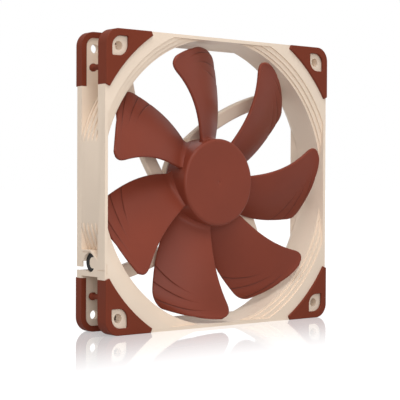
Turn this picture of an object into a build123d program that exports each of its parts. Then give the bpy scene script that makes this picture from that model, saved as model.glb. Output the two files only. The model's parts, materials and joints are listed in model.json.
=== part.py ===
from build123d import *
from math import atan2, cos, degrees, radians, sin, sqrt
import os

# Case fan, 140 mm square. The fan axis is Y: air enters on the -Y side and leaves on the +Y side.
# +Z is up. The origin is on the fan axis, half way through the depth.

# ---- housing ----
SIZE = 140.0                    # outside width and height over the corner pads
HALF = SIZE / 2
DEPTH = 25.0                    # overall depth over the corner pads
PAD_FACE = 1.2                  # how far a pad stands proud of the flange
FACE_Y = DEPTH / 2 - PAD_FACE   # front and rear faces of the housing are at -FACE_Y and +FACE_Y
CORNER_R = 7.0
HOLE_PITCH = 124.5
HOLE_R = 2.15
FRONT_GAP_Y = -5.5              # inner face of the front flange
REAR_GAP_Y = 7.6                # inner face of the rear flange
DUCT_R = 69.6
RING_R = 72.4                   # outside of the duct wall between the flanges
RIB_R = 73.1
RIB_W = 1.3
RIB_YS = (-3.2, 0.1, 3.4, 6.7)
RIM_HALF = 68.4                 # flat inner faces where the side walls cut the duct
REAR_RIM_HALF = 66.4
TAPER_Y = 5.0                   # the flat walls thicken from here to the rear face
STEPS = ((75.0, 0.9), (72.9, 1.9), (70.9, 2.9))     # inlet steps: radius, depth below the face
FLARE_Y = 7.2
FLARE_R = 72.2
SIDE_INSET = 1.0                # the pads wrap the flange edges, which stand back by this much

# ---- corner pads ----
PAD_LENGTH = 25.5               # along each edge from the corner
PAD_ARC_R = 80.8
PAD_TIP_HALF = HALF - 2.0
PAD_LIP = 2.7
PAD_LIP_T = 0.9
WINDOW = 9.0
WINDOW_R = 5.0
WINDOW_SMALL_R = 0.6
SEAT = 10.6                     # the recessed seat round a screw hole, wider than the window over it
SEAT_DEPTH = 0.6
PEG_ALONG = 53.0                # peg position along the edge, and in from it
PEG_ACROSS = 65.9
PEG_R = 1.3
PEG_BULB_R = 1.9
PEG_REACH = 9.7                 # bulb centre beyond the flange's inner face

# ---- struts, motor base and cable outlet ----
STRUT_START = (-5.0, 19.0)
STRUT_MID = (22.5, 35.5)
STRUT_END = (57.0, 45.0)
STRUT_W = 6.8
STRUT_Y = 7.8
CHANNEL_W = 2.8
CHANNEL_DEPTH = 2.3
BASE_R = 21.4
BASE_Y = 9.8
BASE_RIM_IN_R = 19.6
BASE_RIM_Y = 7.6
LABEL_R = 16.0
LABEL_T = 0.2
OUTLET_AT = (1.2, -37.0)         # centre of the round outlet pocket, in Y and Z
OUTLET_R = 4.6
OUTLET_X = -62.0                # floor of the pocket
OUTLET_TOP_Z = -31.2
OUTLET_LOW_Z = -43.3
OUTLET_SLOPE = ((0.0, -31.2), (-5.5, -35.8))    # the outlet block's cut-off corner, in Y and Z
NOTCH_Y = 7.0
SLOT_Z = (-40.8, -39.2)
PASSAGE_X = (-69.2, -62.9)
PASSAGE_Z = (-40.9, -36.5)
PASSAGE_AT = (-64.0, -38.6)      # where the wires pass
GLAND_R = 4.4
GLAND_FACE_X = -68.6
GLAND_BORE_R = 1.2
TONGUE_Y = (-6.0, 1.0)
TONGUE_Z = (-39.5, -34.4)
TONGUE_T = 1.0
TONGUE_CORNER_R = 2.2
SEAM = 0.3                      # width and depth of the moulding seams by the outlet
SEAM_Z = -40.0
UPPER_SEAM_Z = -32.0
LEAD_R = 0.45                   # one insulated wire; four run together
LEAD_BOARD_R = 17.6             # where the wires leave the board
LEAD_RUN_IN = 2.6               # straight runs that join the curved run to the two ends
LEAD_RUN_OUT = 3.0
LEAD_BEND_R = 1.15
LEAD_END_Y = -2.0

# ---- impeller ----
BLADES = 7
PHASE = 9.99                    # degrees, turns the blade set to its rest position
TIP_R = 66.5
ROOT_R = 21.0
HUB_R = 21.4
HUB_WALL = 1.2
HUB_FRONT_Y = -8.6
HUB_FACE_T = 1.4
HUB_REAR_Y = 7.0
HUB_FILLET = 1.6
BLADE_T = 1.5
LEAD_CORNER_R = 5.5
TRAIL_CORNER_R = 6.5
# polynomials in the blade height s, 0 at the hub and 1 at the tip
LEAD_ANGLE = (-1.82, -6.17, 24.45, -7.51)       # degrees
TRAIL_ANGLE = (-46.74, 18.67, 8.98, -7.27)
LEAD_Y = (-3.2, -13.6, 5.9)                     # mm along the axis
TRAIL_Y = (6.0, 1.2, -3.9)
CAMBER = (1.2, 1.2)                             # mm, the blade's bow towards the inlet

# ---- motor ----
YOKE_T = 0.9
YOKE_REAR_Y = 6.2
MAGNET_T = 1.9
MAGNET_Y = (-3.4, 5.2)
SHAFT_R = 1.5
SHAFT_RUN = 0.04                # radial clearance in the bearing
SHAFT_Y = (-7.2, 8.2)
BUSH_R = 4.0
BUSH_Y = (-7.2, -5.7)
CORE_R = 16.9
CORE_BODY_R = 8.0
CORE_Y = (-2.0, 3.4)
POLES = 4
POLE_W = 5.0
POLE_SHOE_T = 1.8
POLE_SLOT = 3.2
INSULATOR_T = 0.9
WINDING_T = 1.5
WINDING_R = (8.9, 14.3)
TUBE_R = 4.2
TUBE_BORE_R = 3.0
TUBE_Y = (-4.2, 9.8)
SLEEVE_Y = (-3.2, 6.6)
SEAL_Y = (-4.2, -3.4)
STABILISER_Y = (-5.3, -4.3)
CLIP_Y = (7.0, 7.5)
CLIP_GROOVE_R = 1.15
THRUST_Y = (8.5, 9.0)
BOARD_R = 19.2
BOARD_Y = (7.9, 8.9)


def slab(sketch, y_low, y_high):
    """A flat shape drawn in X and Z, made solid from y_low to y_high."""
    return extrude(Plane.XZ.offset(-y_high) * sketch, y_high - y_low)


def disc(radius, y_low, y_high, at=(0.0, 0.0)):
    return slab(Pos(at[0], at[1]) * Circle(radius), y_low, y_high)


def ring(outer, inner, y_low, y_high, at=(0.0, 0.0)):
    return disc(outer, y_low, y_high, at) - disc(inner, y_low - 1, y_high + 1, at)


def block(x, y, z):
    """A box from three (low, high) pairs."""
    size = [high - low for low, high in (x, y, z)]
    centre = [(high + low) / 2 for low, high in (x, y, z)]
    return Pos(*centre) * Box(*size)


def cone(radius_low, radius_high, y_low, y_high):
    """A cone frustum on the fan axis."""
    profile = Polyline(
        (0, y_low), (radius_low, y_low), (radius_high, y_high), (0, y_high), close=True
    )
    return revolve(make_face(profile), Axis.Y)


def tapered_square(half_low, half_high, y_low, y_high):
    low = Plane.XZ.offset(-y_low) * Rectangle(2 * half_low, 2 * half_low)
    high = Plane.XZ.offset(-y_high) * Rectangle(2 * half_high, 2 * half_high)
    return loft([low, high])


def turned(shape, degrees_ccw):
    """Turn about the fan axis, counter-clockwise as seen from the inlet."""
    return Rot(0, -degrees_ccw, 0) * shape


# ---- corner pads and what they sit on ----

def rounded_square(half, radius):
    return RectangleRounded(2 * half, 2 * half, radius)


def pad_corner():
    """The square part of the upper right corner that a pad covers."""
    middle = HALF - PAD_LENGTH / 2
    return Pos(middle, middle) * Rectangle(PAD_LENGTH, PAD_LENGTH)


def pad_zone(arc_r=PAD_ARC_R):
    """The pad's front view in the upper right corner, with its two pointed tips."""
    start = HALF - PAD_LENGTH
    outline = rounded_square(HALF, CORNER_R) & pad_corner()
    tip = sqrt(arc_r ** 2 - PAD_TIP_HALF ** 2)
    upper = make_face(Polyline((tip, PAD_TIP_HALF), (start, HALF), (start, PAD_TIP_HALF - 3), close=True))
    lower = make_face(Polyline((PAD_TIP_HALF, tip), (HALF, start), (PAD_TIP_HALF - 3, start), close=True))
    return (outline + upper + lower) - Circle(arc_r)


def window_shape(size):
    """Leaf outline: round on the corner nearest to and farthest from the fan axis."""
    half = HOLE_PITCH / 2
    shape = Pos(half, half) * Rectangle(size, size)
    diagonal = shape.vertices().sort_by(lambda v: v.X + v.Y)
    shape = fillet([diagonal[0], diagonal[-1]], WINDOW_R)
    sharp = shape.vertices().sort_by(lambda v: v.X - v.Y)
    return fillet([sharp[0], sharp[-1]], WINDOW_SMALL_R)


def edge_band(width):
    """The strip of the corner that lies within width of the outside."""
    band = rounded_square(HALF, CORNER_R) - rounded_square(HALF - width, CORNER_R - width)
    return band & (pad_corner() - Circle(RING_R))


def peg(at, inner_y, reach):
    """Pull-through peg: a stem from the pad face to a bulb beyond the flange."""
    outward = 1 if reach < 0 else -1
    bulb_y = inner_y + reach
    face_y = outward * FACE_Y
    stem = disc(PEG_R, min(face_y, bulb_y), max(face_y, bulb_y), at)
    bulb = Pos(at[0], bulb_y, at[1]) * Sphere(PEG_BULB_R)
    return stem + bulb


def upper_right_pad(front):
    """One pad in the upper right corner, on the front or the rear flange."""
    face = -FACE_Y if front else FACE_Y
    inner = FRONT_GAP_Y if front else REAR_GAP_Y
    outer = face - PAD_FACE if front else face + PAD_FACE
    plate = slab(pad_zone() - window_shape(WINDOW), min(face, outer), max(face, outer))
    plate = chamfer(plate.edges().filter_by_position(Axis.Y, outer - 0.01, outer + 0.01), 0.25)
    wall = slab(edge_band(SIDE_INSET), min(face, inner), max(face, inner))
    lip_back = inner - PAD_LIP_T if front else inner + PAD_LIP_T
    lip = slab(edge_band(PAD_LIP), min(lip_back, inner), max(lip_back, inner))
    at = (PEG_ACROSS, PEG_ALONG) if front else (PEG_ALONG, PEG_ACROSS)
    stem = peg(at, inner, PEG_REACH if front else -PEG_REACH)
    return plate + wall + lip + stem


def pads():
    """Eight pads; left and lower ones are mirrored so that every peg stays on its edge."""
    found = {}
    for front, end in ((True, "front"), (False, "rear")):
        upper_right = upper_right_pad(front)
        places = ("upper_right", "lower_right", "upper_left", "lower_left")
        for place, pad in zip(places, four_corners(upper_right)):
            found[f"{end}_pad_{place}"] = pad
    return found


def four_corners(shape):
    """The shape and its mirror images in all four corners."""
    return [shape, mirror(shape, Plane.XY), mirror(shape, Plane.YZ), turned(shape, 180)]


def pad_seats():
    """Material taken off the flanges where the pads wrap round them."""
    front_wall = slab(edge_band(SIDE_INSET), -FACE_Y - 1, FRONT_GAP_Y + 1)
    recess = pad_corner() - Circle(RING_R)
    front_lip = slab(recess, FRONT_GAP_Y - PAD_LIP_T, FRONT_GAP_Y + 1)
    front_peg = disc(PEG_R, -FACE_Y - 1, FRONT_GAP_Y + 1, (PEG_ACROSS, PEG_ALONG))
    rear_wall = slab(edge_band(SIDE_INSET), REAR_GAP_Y - 1, FACE_Y + 1)
    rear_lip = slab(recess, REAR_GAP_Y - 1, REAR_GAP_Y + PAD_LIP_T)
    rear_peg = disc(PEG_R, REAR_GAP_Y - 1, FACE_Y + 1, (PEG_ALONG, PEG_ACROSS))
    cuts = []
    for piece in (front_wall, front_lip, front_peg, rear_wall, rear_lip, rear_peg):
        cuts += four_corners(piece)
    return cuts


# ---- frame ----

def duct_wall():
    """The outside of the round duct, with its ribs, before the duct is bored."""
    wall = disc(RING_R, -FACE_Y, FACE_Y)
    for y in RIB_YS:
        wall += disc(RIB_R, y - RIB_W / 2, y + RIB_W / 2)
    return wall


def flanged_block():
    """The square block, hollowed outside the duct between the two flanges."""
    outside = slab(rounded_square(HALF, CORNER_R), -FACE_Y, FACE_Y)
    between = slab(Rectangle(SIZE + 4, SIZE + 4), FRONT_GAP_Y, REAR_GAP_Y)
    return outside - (between - duct_wall())


def duct_void():
    """The stepped inlet, the duct and the flared outlet, cut off by the flat side walls."""
    flats = slab(Rectangle(2 * RIM_HALF, 2 * RIM_HALF), -FACE_Y - 1, TAPER_Y)
    flats += tapered_square(RIM_HALF, REAR_RIM_HALF, TAPER_Y, FACE_Y)
    flats += slab(Rectangle(2 * REAR_RIM_HALF, 2 * REAR_RIM_HALF), FACE_Y, FACE_Y + 1)
    round_part = disc(DUCT_R, -FACE_Y - 1, FACE_Y + 1)
    for radius, depth in STEPS:
        round_part += disc(radius, -FACE_Y - 1, -FACE_Y + depth)
    round_part += cone(DUCT_R, FLARE_R, FLARE_Y, FACE_Y)
    return round_part & flats


def strut_path():
    return ThreePointArc(STRUT_START, STRUT_MID, STRUT_END)


def strut():
    body = slab(trace(strut_path(), STRUT_W), STRUT_Y, FACE_Y)
    return chamfer(body.edges().filter_by_position(Axis.Y, STRUT_Y - 0.01, STRUT_Y + 0.01), 0.6)


def lead_corners():
    """Corners of the straight runs at the two ends of the lead strut, in X and Z."""
    arc = strut_path()
    start, end = -(arc @ 0), -(arc @ 1)
    near = start + (arc % 0) * LEAD_RUN_IN
    far = end - (arc % 1) * LEAD_RUN_OUT
    board = near.normalized() * LEAD_BOARD_R
    return [(p.X, p.Y) for p in (board, near, start, end, far)] + [PASSAGE_AT]


def lead_channel():
    """The lead channel, open to the rear, in the motor base, one strut and the flange."""
    board, near, start, end, far, passage = lead_corners()
    middle = (-STRUT_MID[0], -STRUT_MID[1])
    runs = [Line(board, near), Line(near, start), Line(end, far), Line(far, passage)]
    runs.append(ThreePointArc(start, middle, end))
    floor = FACE_Y - CHANNEL_DEPTH
    cuts = [slab(trace(run, CHANNEL_W), floor, FACE_Y + 1) for run in runs]
    return cuts + [disc(CHANNEL_W / 2, floor, FACE_Y + 1, at) for at in (board, near, far)]


def motor_base():
    plate = disc(BASE_R, BASE_Y, FACE_Y)
    rim = ring(BASE_R, BASE_RIM_IN_R, BASE_RIM_Y, BASE_Y)
    boss = disc(TUBE_R + 1.4, BOARD_Y[1] + 0.1, BASE_Y)
    ledges = PolarLocations(BOARD_R - 1.2, 3, start_angle=30)
    rests = [Plane.XZ.offset(-BASE_Y) * spot * Circle(1.0) for spot in ledges]
    posts = [extrude(rest, BASE_Y - BOARD_Y[1]) for rest in rests]
    label_seat = disc(LABEL_R, FACE_Y - LABEL_T, FACE_Y + 1)
    return Compound([plate + rim + boss + posts - label_seat])


def outlet_disc(radius, x_low, x_high):
    """A round slug in the middle of the cable outlet, along X."""
    y, z = OUTLET_AT
    return extrude(Plane.YZ.offset(x_low) * Pos(y, z) * Circle(radius), x_high - x_low)


def outlet_block():
    """The solid block between the flanges on the left side that holds the cable outlet."""
    slope_top, slope_low = OUTLET_SLOPE
    corners = [
        (REAR_GAP_Y, OUTLET_LOW_Z), (REAR_GAP_Y, OUTLET_TOP_Z), slope_top, slope_low,
        (FRONT_GAP_Y, OUTLET_LOW_Z),
    ]
    outline = make_face(Polyline(*corners, close=True))
    body = extrude(Plane.YZ.offset(-HALF) * outline, OUTLET_X + 1 + HALF)
    return body - disc(RING_R - 1, -20, 20)


def outlet_cuts():
    """The outlet pocket, the passage for the leads, the thread-in slot and the moulding seams."""
    outside, beyond = -HALF - 1, FACE_Y + 1
    pocket = outlet_disc(OUTLET_R, outside, OUTLET_X) - disc(RING_R, -20, 20)
    passage = block(PASSAGE_X, (OUTLET_AT[0], beyond), PASSAGE_Z)
    notch = block((outside, PASSAGE_X[0] + 1), (OUTLET_AT[0], NOTCH_Y), PASSAGE_Z)
    slot = block((outside, PASSAGE_X[0] + 1), (NOTCH_Y - 1, beyond), SLOT_Z)
    side = block((outside, -HALF + SEAM), (-FACE_Y - 1, FRONT_GAP_Y - 0.1), (SEAM_Z - SEAM, SEAM_Z))
    upper = block((outside, -HALF + 2 * SEAM), (0, REAR_GAP_Y - 1), (UPPER_SEAM_Z - SEAM, UPPER_SEAM_Z))
    low_z, high_z = SEAM_Z - 2, SEAM_Z + 3
    face = block((-HALF + 1, -HALF + 1 + SEAM), (-FACE_Y - 1, -FACE_Y + SEAM), (low_z, high_z))
    return [pocket, passage, notch, slot, side, upper, face]


def tongue():
    """The small hook that keeps the gland in the outlet pocket."""
    root_y, tip_y = TONGUE_Y
    low, high = TONGUE_Z
    outline = Pos((root_y + tip_y) / 2, (low + high) / 2) * Rectangle(tip_y - root_y, high - low)
    outline = fillet(outline.vertices().group_by(Axis.X)[-1], TONGUE_CORNER_R)
    side = Plane.YZ.offset(-HALF + 0.2) * outline
    return extrude(side, TONGUE_T)


def screw_seats():
    """Recessed seats round the screw holes; the pads overhang their rims."""
    seats = []
    for low, high in ((-FACE_Y - 1, -FACE_Y + SEAT_DEPTH), (FACE_Y - SEAT_DEPTH, FACE_Y + 1)):
        seats += four_corners(slab(window_shape(SEAT), low, high))
    return seats


def frame():
    body = flanged_block() + outlet_block()
    body -= duct_void()
    for k in range(4):
        arm = turned(strut(), 90 * k) - disc(BASE_RIM_IN_R, -20, 20)
        body += arm & disc(RING_R - 0.5, -20, 20)
    body += motor_base()
    holes = [
        disc(HOLE_R, -20, 20, (sx * HOLE_PITCH / 2, sz * HOLE_PITCH / 2))
        for sx in (-1, 1) for sz in (-1, 1)
    ]
    tube_hole = disc(TUBE_R, -20, TUBE_Y[1])
    for cut in holes + pad_seats() + screw_seats() + outlet_cuts() + lead_channel() + [tube_hole]:
        body -= cut
    return body + tongue()


def gland():
    """Rubber gland in the cable outlet, with a bore for the lead."""
    body = outlet_disc(GLAND_R, GLAND_FACE_X, OUTLET_X - 0.1) - disc(RING_R + 0.2, -20, 20)
    return body - disc(GLAND_BORE_R, LEAD_END_Y, FACE_Y, PASSAGE_AT)


def lead_wires():
    """Four wires from the board, along the channel and into the gland."""
    run_y = FACE_Y - CHANNEL_DEPTH / 2
    board, near, start, end, far, passage = [Vector(x, run_y, z) for x, z in lead_corners()]
    first = Vector(board.X, BOARD_Y[1], board.Z)
    last = Vector(passage.X, LEAD_END_Y, passage.Z)
    middle = Vector(-STRUT_MID[0], run_y, -STRUT_MID[1])
    path = [
        FilletPolyline(first, board, near, start, radius=LEAD_BEND_R),
        ThreePointArc(start, middle, end),
        FilletPolyline(end, far, passage, last, radius=LEAD_BEND_R),
    ]
    line = Wire([edge for run in path for edge in run.edges()])
    spread = LEAD_R + 0.02
    spots = [(sx * spread, sz * spread) for sx in (-1, 1) for sz in (-1, 1)]
    section = Plane(origin=first, z_dir=(0, 1, 0)) * Sketch([Pos(*at) * Circle(LEAD_R) for at in spots])
    return Compound([sweep(one, path=line) for one in section.faces()])


# ---- impeller ----

def poly(coefficients, s):
    return sum(c * s ** n for n, c in enumerate(coefficients))


def height(r):
    return (r - ROOT_R) / (TIP_R - ROOT_R)


def blade_point(r, chord):
    """A point of the blade's middle surface; chord is 0 at the leading edge, 1 at the trailing."""
    s = height(r)
    lead, trail = poly(LEAD_ANGLE, s), poly(TRAIL_ANGLE, s)
    front, back = poly(LEAD_Y, s), poly(TRAIL_Y, s)
    angle = radians(lead + (trail - lead) * chord)
    y = front + (back - front) * chord - 4 * poly(CAMBER, s) * chord * (1 - chord)
    return Vector(r * cos(angle), y, r * sin(angle))


def blade_surface(offset):
    """Spline surface that overruns the blade's outline, moved along the axis by offset."""
    rows, columns = 12, 12
    low_r, high_r = ROOT_R - 0.6, TIP_R + 1.5
    grid = []
    for i in range(rows):
        r = low_r + (high_r - low_r) * i / (rows - 1)
        chords = [-0.12 + 1.24 * j / (columns - 1) for j in range(columns)]
        grid.append([blade_point(r, c) + Vector(0, offset, 0) for c in chords])
    return Face.make_surface_from_array_of_points(grid)


def edge_curve(angles, low_r, high_r):
    """The leading or trailing edge seen along the fan axis."""
    count = 9
    points = []
    for i in range(count):
        r = low_r + (high_r - low_r) * i / (count - 1)
        a = radians(poly(angles, height(r)))
        points.append((r * cos(a), r * sin(a)))
    return Spline(*points)


def blade_outline():
    """One blade seen along the fan axis, with round tip corners."""
    low_r = ROOT_R - 0.3
    lead = edge_curve(LEAD_ANGLE, low_r, TIP_R)
    trail = edge_curve(TRAIL_ANGLE, low_r, TIP_R)
    tip_angles = [poly(LEAD_ANGLE, 1), poly(TRAIL_ANGLE, 1)]
    root_angles = [poly(LEAD_ANGLE, height(low_r)), poly(TRAIL_ANGLE, height(low_r))]
    tip_mid = radians(sum(tip_angles) / 2)
    root_mid = radians(sum(root_angles) / 2)
    tip = ThreePointArc(lead @ 1, (TIP_R * cos(tip_mid), TIP_R * sin(tip_mid)), trail @ 1)
    root = ThreePointArc(trail @ 0, (low_r * cos(root_mid), low_r * sin(root_mid)), lead @ 0)
    shape = make_face([lead, tip, trail, root])
    corners = shape.vertices().sort_by(lambda v: v.X ** 2 + v.Y ** 2)[-2:]
    corners = sorted(corners, key=lambda v: atan2(v.Y, v.X))
    trail_corner, lead_corner = corners
    shape = fillet(lead_corner, LEAD_CORNER_R)
    near = shape.vertices().sort_by(lambda v: (v.X - trail_corner.X) ** 2 + (v.Y - trail_corner.Y) ** 2)[0]
    return fillet(near, TRAIL_CORNER_R)


def blade():
    """The outline carried along the axis, kept between the blade's two skins."""
    prism = slab(blade_outline(), -20, 20)
    skin = blade_surface(0)
    sheet = thicken(skin, BLADE_T / 2, both=True)
    return prism & sheet


def hub():
    body = disc(HUB_R, HUB_FRONT_Y, HUB_REAR_Y)
    body = fillet(body.edges().group_by(Axis.Y)[0], HUB_FILLET)
    return body - disc(HUB_R - HUB_WALL, HUB_FRONT_Y + HUB_FACE_T, HUB_REAR_Y + 1)


def impeller():
    one = blade()
    wheel = hub()
    for k in range(BLADES):
        wheel += turned(one, PHASE + 360 / BLADES * k)
    return wheel


# ---- motor: rotor side ----

def rotor_yoke():
    outer = HUB_R - HUB_WALL
    front = HUB_FRONT_Y + HUB_FACE_T
    cup = disc(outer, front, YOKE_REAR_Y)
    cup = fillet(cup.edges().group_by(Axis.Y)[0], 0.3)
    cup -= disc(outer - YOKE_T, front + YOKE_T, YOKE_REAR_Y + 1)
    return cup - disc(BUSH_R, front - 1, front + YOKE_T + 1)


def rotor_magnet():
    outer = HUB_R - HUB_WALL - YOKE_T
    return ring(outer, outer - MAGNET_T, *MAGNET_Y)


def shaft():
    rod = disc(SHAFT_R, *SHAFT_Y)
    rod = fillet(rod.edges().group_by(Axis.Y)[-1], 0.8)
    return rod - ring(SHAFT_R + 1, CLIP_GROOVE_R, CLIP_Y[0] - 0.1, CLIP_Y[1] + 0.1)


def shaft_bush():
    return ring(BUSH_R, SHAFT_R, *BUSH_Y)


# ---- motor: bearing ----

def bearing_housing():
    return ring(TUBE_R, TUBE_BORE_R, *TUBE_Y)


def bearing_sleeve():
    return ring(TUBE_BORE_R, SHAFT_R + SHAFT_RUN, *SLEEVE_Y)


def oil_seal():
    return ring(TUBE_BORE_R, SHAFT_R + 0.3, *SEAL_Y)


def stabiliser_magnet():
    return ring(TUBE_R - 0.2, SHAFT_R + 0.4, *STABILISER_Y)


def retaining_clip():
    clip = ring(TUBE_BORE_R - 0.5, CLIP_GROOVE_R + 0.05, *CLIP_Y)
    return clip - block((0, 4), (CLIP_Y[0] - 1, CLIP_Y[1] + 1), (-0.35, 0.35))


def thrust_plate():
    return disc(TUBE_BORE_R, *THRUST_Y)


def bearing_cap():
    return disc(TUBE_BORE_R, THRUST_Y[1], TUBE_Y[1])


# ---- motor: stator ----

def stator_outline(clearance=0.0):
    """Four-pole lamination seen along the axis."""
    shape = Circle(CORE_BODY_R - clearance)
    for k in range(POLES):
        arm = Pos((CORE_R - 1) / 2, 0) * Rectangle(CORE_R - 1, POLE_W)
        shape += Rot(0, 0, 90 * k + 45) * arm
    shoes = Circle(CORE_R) - Circle(CORE_R - POLE_SHOE_T)
    for k in range(POLES):
        gap = Pos(CORE_R, 0) * Rectangle(8, POLE_SLOT)
        shoes -= Rot(0, 0, 90 * k) * gap
    return shape + shoes - Circle(TUBE_R)


def stator_core():
    return slab(stator_outline(), *CORE_Y)


def insulator(front):
    """End insulator: a plate on the core with a low wall at each pole shoe."""
    edge = CORE_Y[0] if front else CORE_Y[1]
    step = -INSULATOR_T if front else INSULATOR_T
    rise = -1.9 if front else 1.7
    plate = slab(stator_outline(), min(edge, edge + step), max(edge, edge + step))
    shoe = (Circle(CORE_R - 0.3) - Circle(CORE_R - 1.4)) & stator_outline()
    wall_low, wall_high = sorted((edge + step, edge + step + rise))
    collar = ring(TUBE_R + 2.2, TUBE_R, wall_low, wall_high)
    return plate + slab(shoe, wall_low, wall_high) + collar


def winding():
    """One coil, wound round the pole that points to 45 degrees."""
    low_y = CORE_Y[0] - INSULATOR_T
    high_y = CORE_Y[1] + INSULATOR_T
    inner, outer = WINDING_R
    length = outer - inner
    centre_y = (low_y + high_y) / 2
    solid = Box(length, high_y - low_y + 2 * WINDING_T, POLE_W + 2 * WINDING_T)
    solid = fillet(solid.edges().filter_by(Axis.X), 1.2)
    core = Box(length + 2, high_y - low_y, POLE_W)
    coil = Pos((inner + outer) / 2, centre_y, 0) * (solid - core)
    return turned(coil, 45)


# ---- circuit board ----

def board_point(radius, angle):
    return radius * cos(radians(angle)), radius * sin(radians(angle))


def circuit_board():
    board = slab(Circle(BOARD_R) - Circle(TUBE_R + 0.2), *BOARD_Y)
    for k in range(POLES):
        board -= disc(0.45, BOARD_Y[0] - 1, BOARD_Y[1] + 1, board_point(7.0, 90 * k))
    return board


def on_board(radius, angle, length, width, tall):
    """A rectangular part standing on the board's stator side."""
    size = Box(length, tall, width)
    placed = Pos(radius, BOARD_Y[0] - tall / 2, 0) * size
    return turned(placed, angle)


def hall_sensor():
    return on_board(17.6, 5, 1.6, 3.0, 1.2)


def driver_chip():
    body = on_board(12.2, 180, 4.0, 5.0, 1.3)
    for side in (-1, 1):
        for k in range(4):
            leg = Box(0.9, 0.3, 0.4)
            x = -12.2 + side * 2.4
            body += Pos(x, BOARD_Y[0] - 0.15, -1.9 + 1.27 * k) * leg
    return body


def capacitor():
    return on_board(12.4, 90, 2.6, 3.4, 1.6)


def board_parts():
    places = ((11.0, 300), (13.6, 315), (11.2, 330), (14.8, 40), (11.6, 20), (13.2, 240))
    return Compound([on_board(r, a, 1.0, 2.0, 0.6) for r, a in places])


def contact_pins():
    """Four posts that carry the coil ends from the rear insulator through the board."""
    low = CORE_Y[1] + INSULATOR_T
    posts = [disc(0.4, low, BOARD_Y[1] + 0.4, board_point(7.0, 90 * k)) for k in range(POLES)]
    return Compound(posts)


def motor_label():
    return disc(LABEL_R, FACE_Y - LABEL_T, FACE_Y)


# ---- all sub-parts ----

def sub_parts():
    nodes = {"frame": frame()}
    nodes.update(pads())
    nodes["impeller"] = impeller()
    for make in (
        gland, lead_wires, rotor_yoke, rotor_magnet, shaft, shaft_bush, bearing_housing, bearing_sleeve,
        oil_seal, stabiliser_magnet, retaining_clip, thrust_plate, bearing_cap, stator_core,
        circuit_board, hall_sensor, driver_chip, capacitor, board_parts, contact_pins, motor_label,
    ):
        nodes[make.__name__] = make()
    nodes["front_insulator"] = insulator(True)
    nodes["rear_insulator"] = insulator(False)
    coil = winding()
    for k in range(POLES):
        nodes[f"winding_{k + 1}"] = turned(coil, 90 * k)
    return nodes


os.makedirs("parts", exist_ok=True)
for name, shape in sub_parts().items():
    shape.label = name
    export_step(shape, f"parts/{name}.step")
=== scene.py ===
import json
import math

import bmesh
import bpy
import numpy as np
from mathutils import Matrix, Vector

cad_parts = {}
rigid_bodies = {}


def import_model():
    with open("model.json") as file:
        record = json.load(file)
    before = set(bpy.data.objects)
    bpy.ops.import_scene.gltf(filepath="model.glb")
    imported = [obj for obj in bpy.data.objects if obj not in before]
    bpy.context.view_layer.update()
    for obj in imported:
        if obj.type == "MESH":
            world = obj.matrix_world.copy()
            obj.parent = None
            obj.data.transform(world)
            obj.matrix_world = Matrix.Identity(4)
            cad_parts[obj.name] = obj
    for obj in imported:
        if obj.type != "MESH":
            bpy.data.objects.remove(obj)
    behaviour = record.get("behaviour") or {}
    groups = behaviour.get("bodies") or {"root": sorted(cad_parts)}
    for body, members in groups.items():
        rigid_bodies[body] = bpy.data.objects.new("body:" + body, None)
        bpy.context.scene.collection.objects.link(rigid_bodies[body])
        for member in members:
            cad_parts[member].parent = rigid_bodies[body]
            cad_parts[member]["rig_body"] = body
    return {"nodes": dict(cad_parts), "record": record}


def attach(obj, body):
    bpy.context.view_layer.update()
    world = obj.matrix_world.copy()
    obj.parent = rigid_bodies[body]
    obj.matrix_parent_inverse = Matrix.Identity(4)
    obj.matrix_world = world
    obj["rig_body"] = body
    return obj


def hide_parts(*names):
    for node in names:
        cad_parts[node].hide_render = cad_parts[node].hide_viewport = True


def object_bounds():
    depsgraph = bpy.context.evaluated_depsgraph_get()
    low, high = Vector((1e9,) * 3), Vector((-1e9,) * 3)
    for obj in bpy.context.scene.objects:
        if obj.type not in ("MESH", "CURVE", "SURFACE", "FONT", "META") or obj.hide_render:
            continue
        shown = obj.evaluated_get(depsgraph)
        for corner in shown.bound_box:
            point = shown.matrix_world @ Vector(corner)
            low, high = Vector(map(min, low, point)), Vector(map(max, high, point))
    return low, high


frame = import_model()
cad_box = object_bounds()

MM = 0.001
FLOOR_Z = cad_box[0].z              # the fan stands on its lower edge

# ---- camera: angles in degrees, distances in metres, lens and sensor in millimetres ----
LENS = 111.65
SENSOR_WIDTH = 36.0
CAMERA_AZIMUTH = -39.26
CAMERA_ELEVATION = 0.94
CAMERA_ROLL = 0.228
CAMERA_DISTANCE = 0.6133
CAMERA_OFFSET = (-0.00413, -0.00870)    # to the right and up
CAMERA_CLIP = (0.01, 20.0)

# ---- light: places and sizes in metres, each light aimed at the fan's centre ----
AMBIENT = 0.42                      # the studio's light on the fan; seen and mirrored, it is plain white
OVERHEAD_AT = (-0.3, -0.35, 0.9)
OVERHEAD_SIZE = (0.9, 0.6)
OVERHEAD_POWER = 6.0
FILL_AT = (-0.6, -1.1, 0.2)
FILL_SIZE = (0.9, 0.7)
FILL_POWER = 6.0

# ---- floor ----
FLOOR_HALF = 6.0
FLOOR_FADE = (-0.125, 0.035)        # where the floor's reflection starts and ends, along the fan axis
FADE_FULL = (0.72, 0.86)            # the stretch of that length, as shares of it, where it is full
FLOOR_COLOR = (0.13, 0.125, 0.127, 1)
FLOOR_GLOW = (1.02, 0.42)           # painted light: how strongly the floor glows, away from the fan, and beside it
FLOOR_MIRROR = (0.0, 0.62)          # the same two places
FLOOR_ROUGHNESS = 0.05
FLOOR_BOUNCE = (0.45, 0.45, 0.45, 1)    # the floor's colour for the soft light that it returns

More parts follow.
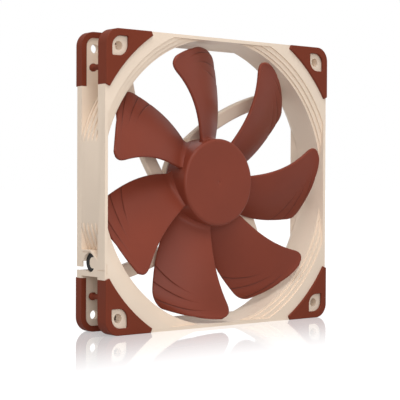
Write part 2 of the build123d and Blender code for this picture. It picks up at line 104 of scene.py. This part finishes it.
# ---- soft edges, in millimetres and degrees ----
FRAME_EDGE = 0.3
GLAND_EDGE = 0.5
PAD_EDGE = 0.35
WELD = 0.002                        # points closer than this become one
FLAT_ANGLE = 0.4                    # faces that turn less than this become one
EASED_ANGLE = 28.0                  # edges that turn more than this are rounded
EDGE_SEGMENTS = 3

# ---- impeller, in millimetres ----
# It follows the CAD node's wheel, most of it within 0.6 mm. Its blade tips are rounder, by up to
# 3.5 mm at the corners, and it adds root fillets and flow channels.
BLADES = 7
PHASE = 9.99
TIP_R = 66.5
ROOT_R = 21.0
HUB_R = 21.4
HUB_FRONT = -8.6
HUB_REAR = 7.0
HUB_WALL = 1.2
HUB_FACE_T = 1.4
HUB_EDGE_R = 1.5
HUB_REAR_EDGE_R = 0.4
HUB_STEPS = 160
AXIS_R = 0.02                       # the turned outline stops this short of the axis
GATE_MARK = ((AXIS_R, 0.22), (0.55, 0.2), (0.8, 0.03), (1.0, 0.0))      # radius, depth
WHEEL_SHARP_ANGLE = 50
# polynomials in the blade height, 0 at the root and 1 at the tip: degrees, then millimetres
LEAD_ANGLE = (-1.82, -6.171, 24.453, -7.508)
TRAIL_ANGLE = (-46.742, 18.671, 8.984, -7.266)
LEAD_Y = (-3.2, -14.2, 5.9)
TRAIL_Y = (6.1, 1.2, -4.0)
CAMBER = (1.2, 1.2)
LEAD_CORNER = 8.06
TRAIL_CORNER = 7.45
CORNER_SPREAD = 1.2                 # a tip corner's length along the tip against its height
BLADE_T = 1.5
THICK_AT_LEAD = 1.08                # share of BLADE_T at the leading edge
THICK_LOSS = 0.36                   # and what is lost by the trailing edge
BLADE_EDGE_R = 0.62
ROOT_FILLET = (2.6, 1.0)            # front, rear
FILLET_SINK = 0.15                  # how far inside the hub wall the fillets start
ROOT_SINK = 0.3                     # how far inside the root radius the blade starts
GROOVE_DEPTH = 0.26
GROOVE_FADE = 0.55                  # share of a channel's length over which it dies out
GROOVE_SECTION = ((-0.3, 0.0, 0.4, 2.6), (0.0, 1.0, 0.5, 0.0))     # across the channel, share of depth
PAINTED_CREASE_SHADE = 0.36                 # painted shade: how much darker the colour is painted at the bottom of a channel
# each channel: radius at the trailing edge, slope and bend per degree, first angle, last angle
GROOVES = (
    (49.3, 0.44, -0.0058, -33.5, -10.0),
    (56.8, 0.22, -0.0037, -30.0, -5.0),
    (63.6, 0.055, -0.0034, -27.5, 1.0),
)
TIP_ZONE = len(GROOVES) + 1

# ---- the blade's grid of points, in millimetres ----
ROOT_ROWS = 25                      # rows from the root to the first channel, both ends counted
ROOT_CROWDING = 1.25
GROOVE_ROWS = (-0.55, -0.3, -0.15, 0.0, 0.18, 0.4, 0.75, 1.3)     # rows beside each channel
FIELD_ROWS = 6                      # spaces between two channels
LAST_FIELD_ROWS = 3                 # spaces between the last channel and the tip
TIP_ROWS = (0.75, 0.42, 0.2, 0.06, 0.0)
EDGE_COLUMNS = (0, 0.05, 0.16, 0.34, 0.6, 1.0)      # columns beside each edge
MIDDLE_COLUMNS = 25
GRID_ROUNDS = 12                    # rows and columns depend on each other, so they are refined in turn

NO_PAINTED_SHADE = (1, 1, 1, 1)                # no painted shade


def add_object(name, data):
    obj = bpy.data.objects.new(name, data)
    bpy.context.scene.collection.objects.link(obj)
    return obj


# ---- small node helpers ----

def new_material(name):
    mat = bpy.data.materials.new(name)
    mat.use_nodes = True
    mat.node_tree.nodes.clear()
    return mat, mat.node_tree.nodes, mat.node_tree.links


def shader_pair(nodes, links):
    out = nodes.new("ShaderNodeOutputMaterial")
    bsdf = nodes.new("ShaderNodeBsdfPrincipled")
    links.new(bsdf.outputs[0], out.inputs[0])
    return bsdf


def noise(nodes, links, coords, scale, detail=3.0, rough=0.5):
    node = nodes.new("ShaderNodeTexNoise")
    node.inputs["Scale"].default_value = scale
    node.inputs["Detail"].default_value = detail
    node.inputs["Roughness"].default_value = rough
    links.new(coords, node.inputs["Vector"])
    return node.outputs["Fac"]


def ramp(nodes, links, factor, low, high, start=0.3, end=0.7):
    node = nodes.new("ShaderNodeValToRGB")
    node.color_ramp.elements[0].position = start
    node.color_ramp.elements[1].position = end
    node.color_ramp.elements[0].color = (*low, 1)
    node.color_ramp.elements[1].color = (*high, 1)
    links.new(factor, node.inputs[0])
    return node.outputs[0]


def spread(nodes, links, factor, low, high):
    """A noise value, which mostly lies between 0.3 and 0.7, spread from low to high."""
    node = nodes.new("ShaderNodeMapRange")
    node.inputs["From Min"].default_value = 0.3
    node.inputs["From Max"].default_value = 0.7
    node.inputs["To Min"].default_value = low
    node.inputs["To Max"].default_value = high
    links.new(factor, node.inputs[0])
    return node.outputs[0]


def bump(nodes, links, height, distance, strength):
    node = nodes.new("ShaderNodeBump")
    node.inputs["Strength"].default_value = strength
    node.inputs["Distance"].default_value = distance
    links.new(height, node.inputs["Height"])
    return node.outputs[0]


def shade(color, factor):
    return tuple(min(1.0, c * factor) for c in color)


def moulded(name, color, roughness, specular=0.3, vary=0.05, grain=0.02, grain_scale=2600.0,
            painted_shade_layer=None):
    """Moulded plastic or rubber: uneven colour, spark-eroded grain and uneven gloss.

    Where a colour layer of the mesh is named, the colour is multiplied by it; that layer holds painted
    shade.
    """
    mat, nodes, links = new_material(name)
    bsdf = shader_pair(nodes, links)
    coords = nodes.new("ShaderNodeTexCoord").outputs["Object"]
    cloud = noise(nodes, links, coords, 45.0)
    base = ramp(nodes, links, cloud, shade(color, 1 - vary), shade(color, 1 + vary))
    if painted_shade_layer:
        layer = nodes.new("ShaderNodeVertexColor")
        layer.layer_name = painted_shade_layer
        mix = nodes.new("ShaderNodeMix")
        mix.data_type = "RGBA"
        mix.blend_type = "MULTIPLY"
        mix.inputs["Factor"].default_value = 1.0
        color_a, color_b, color_result = mix.inputs[6], mix.inputs[7], mix.outputs[2]
        links.new(base, color_a)
        links.new(layer.outputs[0], color_b)
        base = color_result
    links.new(base, bsdf.inputs["Base Color"])
    links.new(spread(nodes, links, cloud, roughness - 0.04, roughness + 0.04), bsdf.inputs["Roughness"])
    fine = noise(nodes, links, coords, grain_scale, 2.0, 0.6)
    links.new(bump(nodes, links, fine, grain * MM, 0.35), bsdf.inputs["Normal"])
    bsdf.inputs["Specular IOR Level"].default_value = specular
    return mat


def metal(name, color, roughness, scratch=0.004):
    """Turned or drawn metal with fine streaks."""
    mat, nodes, links = new_material(name)
    bsdf = shader_pair(nodes, links)
    coords = nodes.new("ShaderNodeTexCoord").outputs["Object"]
    stretch = nodes.new("ShaderNodeMapping")
    stretch.inputs["Scale"].default_value = (1.0, 12.0, 1.0)
    links.new(coords, stretch.inputs[0])
    streak = noise(nodes, links, stretch.outputs[0], 260.0, 4.0)
    links.new(ramp(nodes, links, streak, shade(color, 0.9), shade(color, 1.06)), bsdf.inputs["Base Color"])
    links.new(spread(nodes, links, streak, roughness, roughness + 0.12), bsdf.inputs["Roughness"])
    links.new(bump(nodes, links, streak, scratch * MM, 0.3), bsdf.inputs["Normal"])
    bsdf.inputs["Metallic"].default_value = 1.0
    return mat


def enamelled_copper(name):
    """Copper wire wound in close turns."""
    mat, nodes, links = new_material(name)
    bsdf = shader_pair(nodes, links)
    coords = nodes.new("ShaderNodeTexCoord").outputs["Object"]
    turns = nodes.new("ShaderNodeTexWave")
    turns.inputs["Scale"].default_value = 900.0
    turns.inputs["Distortion"].default_value = 1.2
    links.new(coords, turns.inputs["Vector"])
    links.new(ramp(nodes, links, turns.outputs["Fac"], (0.18, 0.05, 0.02), (0.62, 0.24, 0.1)),
              bsdf.inputs["Base Color"])
    links.new(bump(nodes, links, turns.outputs["Fac"], 0.1 * MM, 0.6), bsdf.inputs["Normal"])
    bsdf.inputs["Metallic"].default_value = 0.8
    bsdf.inputs["Roughness"].default_value = 0.3
    return mat


BEIGE = (0.835, 0.69, 0.555)
BROWN = (0.205, 0.0425, 0.0235)
RUBBER_BROWN = (0.175, 0.0355, 0.0175)

# moulded takes name, colour, roughness, specular, colour variation, grain height and grain scale
MATERIALS = {
    "beige_plastic": moulded("beige plastic", BEIGE, 0.5, 0.22, 0.03, 0.015),
    # brown plastic's colour is multiplied by the painted shade in the blade channels
    "brown_plastic": moulded("brown plastic", BROWN, 0.42, 0.18, 0.05, 0.012, painted_shade_layer="painted_crease_shade"),
    "soft_brown_rubber": moulded("soft brown rubber", RUBBER_BROWN, 0.6, 0.1, 0.06, 0.03, 1800.0),
    "black_rubber": moulded("black rubber", (0.012, 0.011, 0.011), 0.6, 0.3, 0.15, 0.04, 1500.0),
    "lead_insulation": moulded("lead insulation", (0.02, 0.019, 0.019), 0.42, 0.4, 0.12, 0.01),
    "yoke_steel": metal("yoke steel", (0.52, 0.52, 0.53), 0.35),
    "magnet_ferrite": moulded("ferrite", (0.045, 0.044, 0.046), 0.7, 0.3, 0.2, 0.06, 1200.0),
    "shaft_steel": metal("shaft steel", (0.66, 0.66, 0.68), 0.15),
    "brass": metal("brass", (0.72, 0.52, 0.24), 0.25),
    "bearing_metal": metal("bearing metal", (0.5, 0.4, 0.27), 0.5, 0.02),
    "seal_plastic": moulded("seal plastic", (0.7, 0.69, 0.64), 0.45, 0.35, 0.05),
    "core_steel": metal("core steel", (0.38, 0.39, 0.41), 0.45, 0.02),
    "insulator_plastic": moulded("insulator plastic", (0.72, 0.7, 0.62), 0.5, 0.35, 0.05),
    "board_laminate": moulded("board laminate", (0.03, 0.17, 0.06), 0.35, 0.45, 0.2, 0.02, 700.0),
    "chip_black": moulded("chip resin", (0.02, 0.02, 0.022), 0.5, 0.35, 0.1, 0.03, 2200.0),
    "capacitor_body": moulded("capacitor body", (0.42, 0.28, 0.13), 0.45, 0.4, 0.15),
    "pin_metal": metal("pin metal", (0.72, 0.72, 0.7), 0.25),
    "label_plate": moulded("label plate", (0.62, 0.48, 0.36), 0.35, 0.4, 0.05, 0.006, 900.0),
    "copper_winding": enamelled_copper("enamelled copper"),
}
SLOT_OF = {row["node"]: row["material_slot"] for row in frame["record"]["subparts"]}


def paint(obj, slot_name):
    obj.data.materials.clear()
    obj.data.materials.append(MATERIALS[slot_name])


# ---- meshes taken from CAD nodes, with soft edges ----

def eased(node, name, width):
    """A copy of a CAD node with flat faces joined up and every edge rounded."""
    source = frame["nodes"][node]
    mesh = source.data.copy()
    mesh.name = name
    bm = bmesh.new()
    bm.from_mesh(mesh)
    bmesh.ops.remove_doubles(bm, verts=bm.verts, dist=WELD * MM)
    bmesh.ops.dissolve_limit(bm, angle_limit=math.radians(FLAT_ANGLE), verts=bm.verts, edges=bm.edges)
    bm.to_mesh(mesh)
    bm.free()
    for poly in mesh.polygons:
        poly.use_smooth = True
    if mesh.has_custom_normals:
        mesh.attributes.remove(mesh.attributes["custom_normal"])
    mesh.set_sharp_from_angle(angle=math.radians(EASED_ANGLE))
    obj = add_object(name, mesh)
    bevel = obj.modifiers.new("round edges", "BEVEL")
    bevel.width = width * MM
    bevel.segments = EDGE_SEGMENTS
    bevel.limit_method = "ANGLE"
    bevel.angle_limit = math.radians(EASED_ANGLE)
    bevel.use_clamp_overlap = True
    bevel.harden_normals = True
    paint(obj, SLOT_OF[node])
    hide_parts(node)
    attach(obj, source["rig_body"])


# ---- impeller ----

def poly(coefficients, s):
    return sum(c * s ** n for n, c in enumerate(coefficients))


def height(r):
    return (r - ROOT_R) / (TIP_R - ROOT_R)


def edge_angle(coefficients, corner, sign, r):
    """Angle of the leading (sign 1) or trailing (sign -1) edge, with its round tip corner."""
    start = TIP_R - corner
    along = 1 - np.sqrt(np.clip((TIP_R - r) / corner, 0, 1))
    first = poly(coefficients, height(start))
    second = poly(coefficients, 1.0)
    third = second - sign * math.degrees(CORNER_SPREAD * corner / TIP_R)
    turned = (1 - along) ** 2 * first + 2 * along * (1 - along) * second + along ** 2 * third
    return np.where(r > start, turned, poly(coefficients, height(np.minimum(r, TIP_R))))


def channel(index, angle):
    """Radius of a flow channel's deepest line at each angle."""
    radius, slope, bend, first, _ = GROOVES[index]
    x = angle - first
    return radius + slope * x + bend * x ** 2


def row_plan():
    """Rows from root to tip. Each is (zone, part, value): part 0 counts millimetres, 1 a share."""
    rows = [(0, 1, w) for w in np.linspace(0, 1, ROOT_ROWS)[:-1] ** ROOT_CROWDING]
    for zone in range(1, TIP_ZONE):
        rows += [(zone, 0, q) for q in GROOVE_ROWS]
        count = FIELD_ROWS if zone < TIP_ZONE - 1 else LAST_FIELD_ROWS
        rows += [(zone, 1, w) for w in np.linspace(0, 1, count + 1)[1:-1]]
    rows += [(TIP_ZONE, 0, -d) for d in TIP_ROWS]
    return rows


def row_radius(row, angle):
    """Radius of one row of the plan at each angle."""
    zone, part, value = row
    marks = [np.full_like(angle, ROOT_R - ROOT_SINK)]
    marks += [channel(i, angle) for i in range(len(GROOVES))]
    marks.append(np.full_like(angle, TIP_R))
    if part == 0:
        return marks[zone] + value
    low = marks[zone] + (GROOVE_ROWS[-1] if zone else 0)
    high = marks[zone + 1] - (-GROOVE_ROWS[0] if zone < TIP_ZONE - 1 else TIP_ROWS[0])
    return low + (high - low) * value


def blade_grid():
    """Radius, angle, chord share and edge distance for every grid point of one blade."""
    plan = row_plan()
    close = np.array(EDGE_COLUMNS)
    inner = np.linspace(0, 1, MIDDLE_COLUMNS + 2)[1:-1]
    columns = 2 * len(close) + len(inner)
    share = np.tile(np.linspace(0, 1, columns), (len(plan), 1))
    radius = np.tile(np.linspace(ROOT_R, TIP_R, len(plan))[:, None], (1, columns))
    for _ in range(GRID_ROUNDS):
        lead = edge_angle(LEAD_ANGLE, LEAD_CORNER, 1, radius)
        trail = edge_angle(TRAIL_ANGLE, TRAIL_CORNER, -1, radius)
        s = height(radius)
        arc = np.radians(lead - trail) * radius
        rise = poly(TRAIL_Y, s) - poly(LEAD_Y, s)
        chord = np.sqrt(arc ** 2 + rise ** 2)
        ends = close[None, :] / chord[:, :1]
        middle = ends[:, -1:] + (1 - 2 * ends[:, -1:]) * inner[None, :]
        share = np.concatenate([ends, middle, 1 - ends[:, ::-1]], axis=1)
        angle = lead + (trail - lead) * share
        radius = np.stack([row_radius(row, angle[i]) for i, row in enumerate(plan)])
    from_edge = np.minimum(share, 1 - share) * chord
    from_edge = np.minimum(from_edge, np.maximum(TIP_R - radius, 0))
    return radius, angle, share, from_edge


def groove_depth(radius, angle):
    """How deep the flow channels are at each point, from 0 to 1."""
    total = np.zeros_like(radius)
    for index, (_, _, _, first, last) in enumerate(GROOVES):
        q = radius - channel(index, angle)
        across = np.interp(q, *GROOVE_SECTION)
        fade = np.clip((last - angle) / (GROOVE_FADE * (last - first)), 0, 1)
        total = np.maximum(total, across * fade * fade * (3 - 2 * fade))
    return total


def blade_mesh(bm, layer, turn):
    """One blade, closed inside the hub wall, with its channels on the front and painted shade at their
    bottoms.
    """
    radius, angle, share, from_edge = blade_grid()
    s = height(radius)
    a = np.radians(angle + turn)
    lead_y, trail_y = poly(LEAD_Y, s), poly(TRAIL_Y, s)
    y = lead_y + (trail_y - lead_y) * share - 4 * poly(CAMBER, s) * share * (1 - share)
    middle = np.stack([radius * np.cos(a), y, radius * np.sin(a)], axis=-1)
    normal = np.cross(np.gradient(middle, axis=0), np.gradient(middle, axis=1))
    normal /= np.linalg.norm(normal, axis=-1, keepdims=True)
    normal *= np.where(normal[..., 1:2] > 0, -1.0, 1.0)
    thick = BLADE_T * (THICK_AT_LEAD - THICK_LOSS * share)
    rounding = np.clip(from_edge / BLADE_EDGE_R, 0, 1)
    profile = np.sqrt(1 - (1 - rounding) ** 2)
    off_hub = np.clip(radius - HUB_R + FILLET_SINK, 0, None)
    depth = groove_depth(radius, angle)
    sides = []
    for sign, fillet_r in zip((1, -1), ROOT_FILLET):
        gap = np.clip(fillet_r - off_hub, 0, fillet_r)
        flare = fillet_r - np.sqrt(fillet_r ** 2 - gap ** 2)
        half = (thick / 2 + flare) * profile
        if sign == 1:
            half = half - GROOVE_DEPTH * depth * profile
        points = middle + sign * normal * half[..., None]
        # painted shade: the colour at the bottom of each channel is darkened, on the front side only
        painted_shade = 1 - PAINTED_CREASE_SHADE * depth ** 3 if sign == 1 else np.ones_like(depth)
        grid = [[bm.verts.new(Vector(p) * MM) for p in line] for line in points]
        sides.append((grid, painted_shade))
    for number, (grid, painted_shade) in enumerate(sides):
        for i in range(len(grid) - 1):
            for j in range(len(grid[0]) - 1):
                ids = [(i, j), (i + 1, j), (i + 1, j + 1), (i, j + 1)]
                if number:
                    ids.reverse()
                face = bm.faces.new([grid[p][q] for p, q in ids])
                for loop, (p, q) in zip(face.loops, ids):
                    loop[layer] = (painted_shade[p, q], painted_shade[p, q], painted_shade[p, q], 1)
    for j in range(len(sides[0][0][0]) - 1):
        front, back = sides[0][0][0], sides[1][0][0]
        face = bm.faces.new([front[j], front[j + 1], back[j + 1], back[j]])
        for loop in face.loops:
            loop[layer] = NO_PAINTED_SHADE


def turned_mesh(bm, layer, profile, steps):
    """A closed (radius, y) outline turned about the fan axis."""
    rings = []
    for k in range(steps):
        a = 2 * math.pi * k / steps
        ring = [bm.verts.new(Vector((r * math.cos(a), y, r * math.sin(a))) * MM) for r, y in profile]
        rings.append(ring)
    count = len(profile)
    for k in range(steps):
        here, there = rings[k], rings[(k + 1) % steps]
        for i in range(count):
            j = (i + 1) % count
            face = bm.faces.new([here[i], here[j], there[j], there[i]])
            for loop in face.loops:
                loop[layer] = NO_PAINTED_SHADE


def arc_points(centre, radius, start, end, count):
    angles = np.radians(np.linspace(start, end, count))
    return [(centre[0] + radius * math.cos(a), centre[1] + radius * math.sin(a)) for a in angles]


def hub_profile():
    """From the small gate mark in the middle, over the round edge, to the inside wall."""
    edge, rear_edge = HUB_EDGE_R, HUB_REAR_EDGE_R
    inside_r, inside_y = HUB_R - HUB_WALL, HUB_FRONT + HUB_FACE_T
    points = [(r, HUB_FRONT + depth) for r, depth in GATE_MARK]
    points += [(r, HUB_FRONT) for r in np.linspace(4, HUB_R - edge - 0.6, 5)]
    points += arc_points((HUB_R - edge, HUB_FRONT + edge), edge, -90, 0, 10)
    points += [(HUB_R, y) for y in np.linspace(HUB_FRONT + edge + 1, HUB_REAR - 1, 6)]
    points += arc_points((HUB_R - rear_edge, HUB_REAR - rear_edge), rear_edge, 0, 90, 4)
    points += [(inside_r, HUB_REAR), (inside_r, inside_y), (AXIS_R, inside_y)]
    return points


def make_impeller():
    mesh = bpy.data.meshes.new("impeller_wheel")
    bm = bmesh.new()
    # a colour layer that carries the painted shade of the channel bottoms
    layer = bm.loops.layers.color.new("painted_crease_shade")
    turned_mesh(bm, layer, hub_profile(), HUB_STEPS)
    for k in range(BLADES):
        blade_mesh(bm, layer, PHASE + 360 / BLADES * k)
    bmesh.ops.remove_doubles(bm, verts=bm.verts, dist=WELD * MM)
    bmesh.ops.recalc_face_normals(bm, faces=bm.faces)
    bm.to_mesh(mesh)
    bm.free()
    for face in mesh.polygons:
        face.use_smooth = True
    mesh.set_sharp_from_angle(angle=math.radians(WHEEL_SHARP_ANGLE))
    obj = add_object("impeller_wheel", mesh)
    paint(obj, "brown_plastic")
    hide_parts("impeller")
    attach(obj, "rotor")


# ---- stage ----

def make_floor():
    """White gloss floor that glows as painted light, weaker beside the fan, and whose reflection is
    strongest close to the fan.
    """
    mesh = bpy.data.meshes.new("floor")
    corners = [(x * FLOOR_HALF, y * FLOOR_HALF, FLOOR_Z) for x, y in ((-1, -1), (1, -1), (1, 1), (-1, 1))]
    mesh.from_pydata(corners, [], [(0, 1, 2, 3)])
    obj = add_object("floor", mesh)
    mat, nodes, links = new_material("floor gloss")
    out = nodes.new("ShaderNodeOutputMaterial")
    white = nodes.new("ShaderNodeBsdfDiffuse")
    white.inputs["Color"].default_value = FLOOR_COLOR
    glow = nodes.new("ShaderNodeEmission")
    mirror = nodes.new("ShaderNodeBsdfGlossy")
    mirror.inputs["Roughness"].default_value = FLOOR_ROUGHNESS
    coords = nodes.new("ShaderNodeTexCoord").outputs["Object"]
    parts = nodes.new("ShaderNodeSeparateXYZ")
    links.new(coords, parts.inputs[0])
    links.new(floor_fade(nodes, links, parts.outputs["Y"], *FLOOR_GLOW), glow.inputs["Strength"])
    links.new(floor_fade(nodes, links, parts.outputs["Y"], *FLOOR_MIRROR), mirror.inputs["Color"])
    both = nodes.new("ShaderNodeAddShader")
    links.new(white.outputs[0], both.inputs[0])
    links.new(glow.outputs[0], both.inputs[1])
    add = nodes.new("ShaderNodeAddShader")
    links.new(both.outputs[0], add.inputs[0])
    links.new(mirror.outputs[0], add.inputs[1])
    bounce = nodes.new("ShaderNodeBsdfDiffuse")
    bounce.inputs["Color"].default_value = FLOOR_BOUNCE
    path = nodes.new("ShaderNodeLightPath")
    pick = nodes.new("ShaderNodeMixShader")
    links.new(path.outputs["Is Diffuse Ray"], pick.inputs[0])
    links.new(add.outputs[0], pick.inputs[1])
    links.new(bounce.outputs[0], pick.inputs[2])
    links.new(pick.outputs[0], out.inputs[0])
    obj.data.materials.append(mat)


def floor_fade(nodes, links, place, far, near):
    """A value that goes from far, in front of the fan, to near, beside it, and back to far behind it."""
    along = nodes.new("ShaderNodeMapRange")
    along.inputs["From Min"].default_value, along.inputs["From Max"].default_value = FLOOR_FADE
    links.new(place, along.inputs[0])
    curve = nodes.new("ShaderNodeValToRGB")
    curve.color_ramp.interpolation = "EASE"
    curve.color_ramp.elements[0].color = (0, 0, 0, 1)
    curve.color_ramp.elements[1].color = (0, 0, 0, 1)
    for place_on_ramp in FADE_FULL:
        curve.color_ramp.elements.new(place_on_ramp).color = (1, 1, 1, 1)
    links.new(along.outputs[0], curve.inputs[0])
    value = nodes.new("ShaderNodeMapRange")
    value.inputs["To Min"].default_value = far
    value.inputs["To Max"].default_value = near
    links.new(curve.outputs[0], value.inputs[0])
    return value.outputs[0]


def area_light(name, place, size, power):
    data = bpy.data.lights.new(name, "AREA")
    data.shape = "RECTANGLE"
    data.size, data.size_y = size
    data.energy = power
    obj = add_object(name, data)
    obj.location = place
    obj.rotation_euler = (-Vector(place)).to_track_quat("-Z", "Y").to_euler()


def make_light():
    """Even studio light all round, brighter from above and in front; the backdrop stays white."""
    world = bpy.data.worlds.new("studio")
    bpy.context.scene.world = world
    world.use_nodes = True
    nodes, links = world.node_tree.nodes, world.node_tree.links
    background = nodes["Background"]
    background.inputs[0].default_value = (1, 1, 1, 1)
    path = nodes.new("ShaderNodeLightPath")
    seen = nodes.new("ShaderNodeMath")
    seen.operation = "MAXIMUM"
    links.new(path.outputs["Is Camera Ray"], seen.inputs[0])
    links.new(path.outputs["Is Glossy Ray"], seen.inputs[1])
    strength = nodes.new("ShaderNodeMapRange")
    strength.inputs["To Min"].default_value = AMBIENT
    strength.inputs["To Max"].default_value = 1.0
    links.new(seen.outputs[0], strength.inputs[0])
    links.new(strength.outputs[0], background.inputs[1])
    area_light("overhead", OVERHEAD_AT, OVERHEAD_SIZE, OVERHEAD_POWER)
    area_light("front_fill", FILL_AT, FILL_SIZE, FILL_POWER)


def make_camera():
    az, el, roll = (math.radians(v) for v in (CAMERA_AZIMUTH, CAMERA_ELEVATION, CAMERA_ROLL))
    back = Vector((math.sin(az) * math.cos(el), -math.cos(az) * math.cos(el), math.sin(el)))
    right = (-back).cross(Vector((0, 0, 1))).normalized()
    up = right.cross(-back)
    right, up = (
        math.cos(roll) * right + math.sin(roll) * up,
        math.cos(roll) * up - math.sin(roll) * right,
    )
    data = bpy.data.cameras.new("camera")
    data.lens = LENS
    data.sensor_width = SENSOR_WIDTH
    data.clip_start, data.clip_end = CAMERA_CLIP
    obj = add_object("camera", data)
    place = back * CAMERA_DISTANCE + right * CAMERA_OFFSET[0] + up * CAMERA_OFFSET[1]
    turn = Matrix((right, up, back)).transposed().to_4x4()
    obj.matrix_world = Matrix.Translation(place) @ turn
    bpy.context.scene.camera = obj


make_camera()
make_light()
make_floor()
bpy.context.scene.view_settings.view_transform = "Standard"

for node, obj in frame["nodes"].items():
    paint(obj, SLOT_OF[node])
eased("frame", "housing_shell", FRAME_EDGE)
eased("gland", "gland_soft", GLAND_EDGE)
for node in frame["nodes"]:
    if "_pad_" in node:
        eased(node, node + "_soft", PAD_EDGE)
make_impeller()
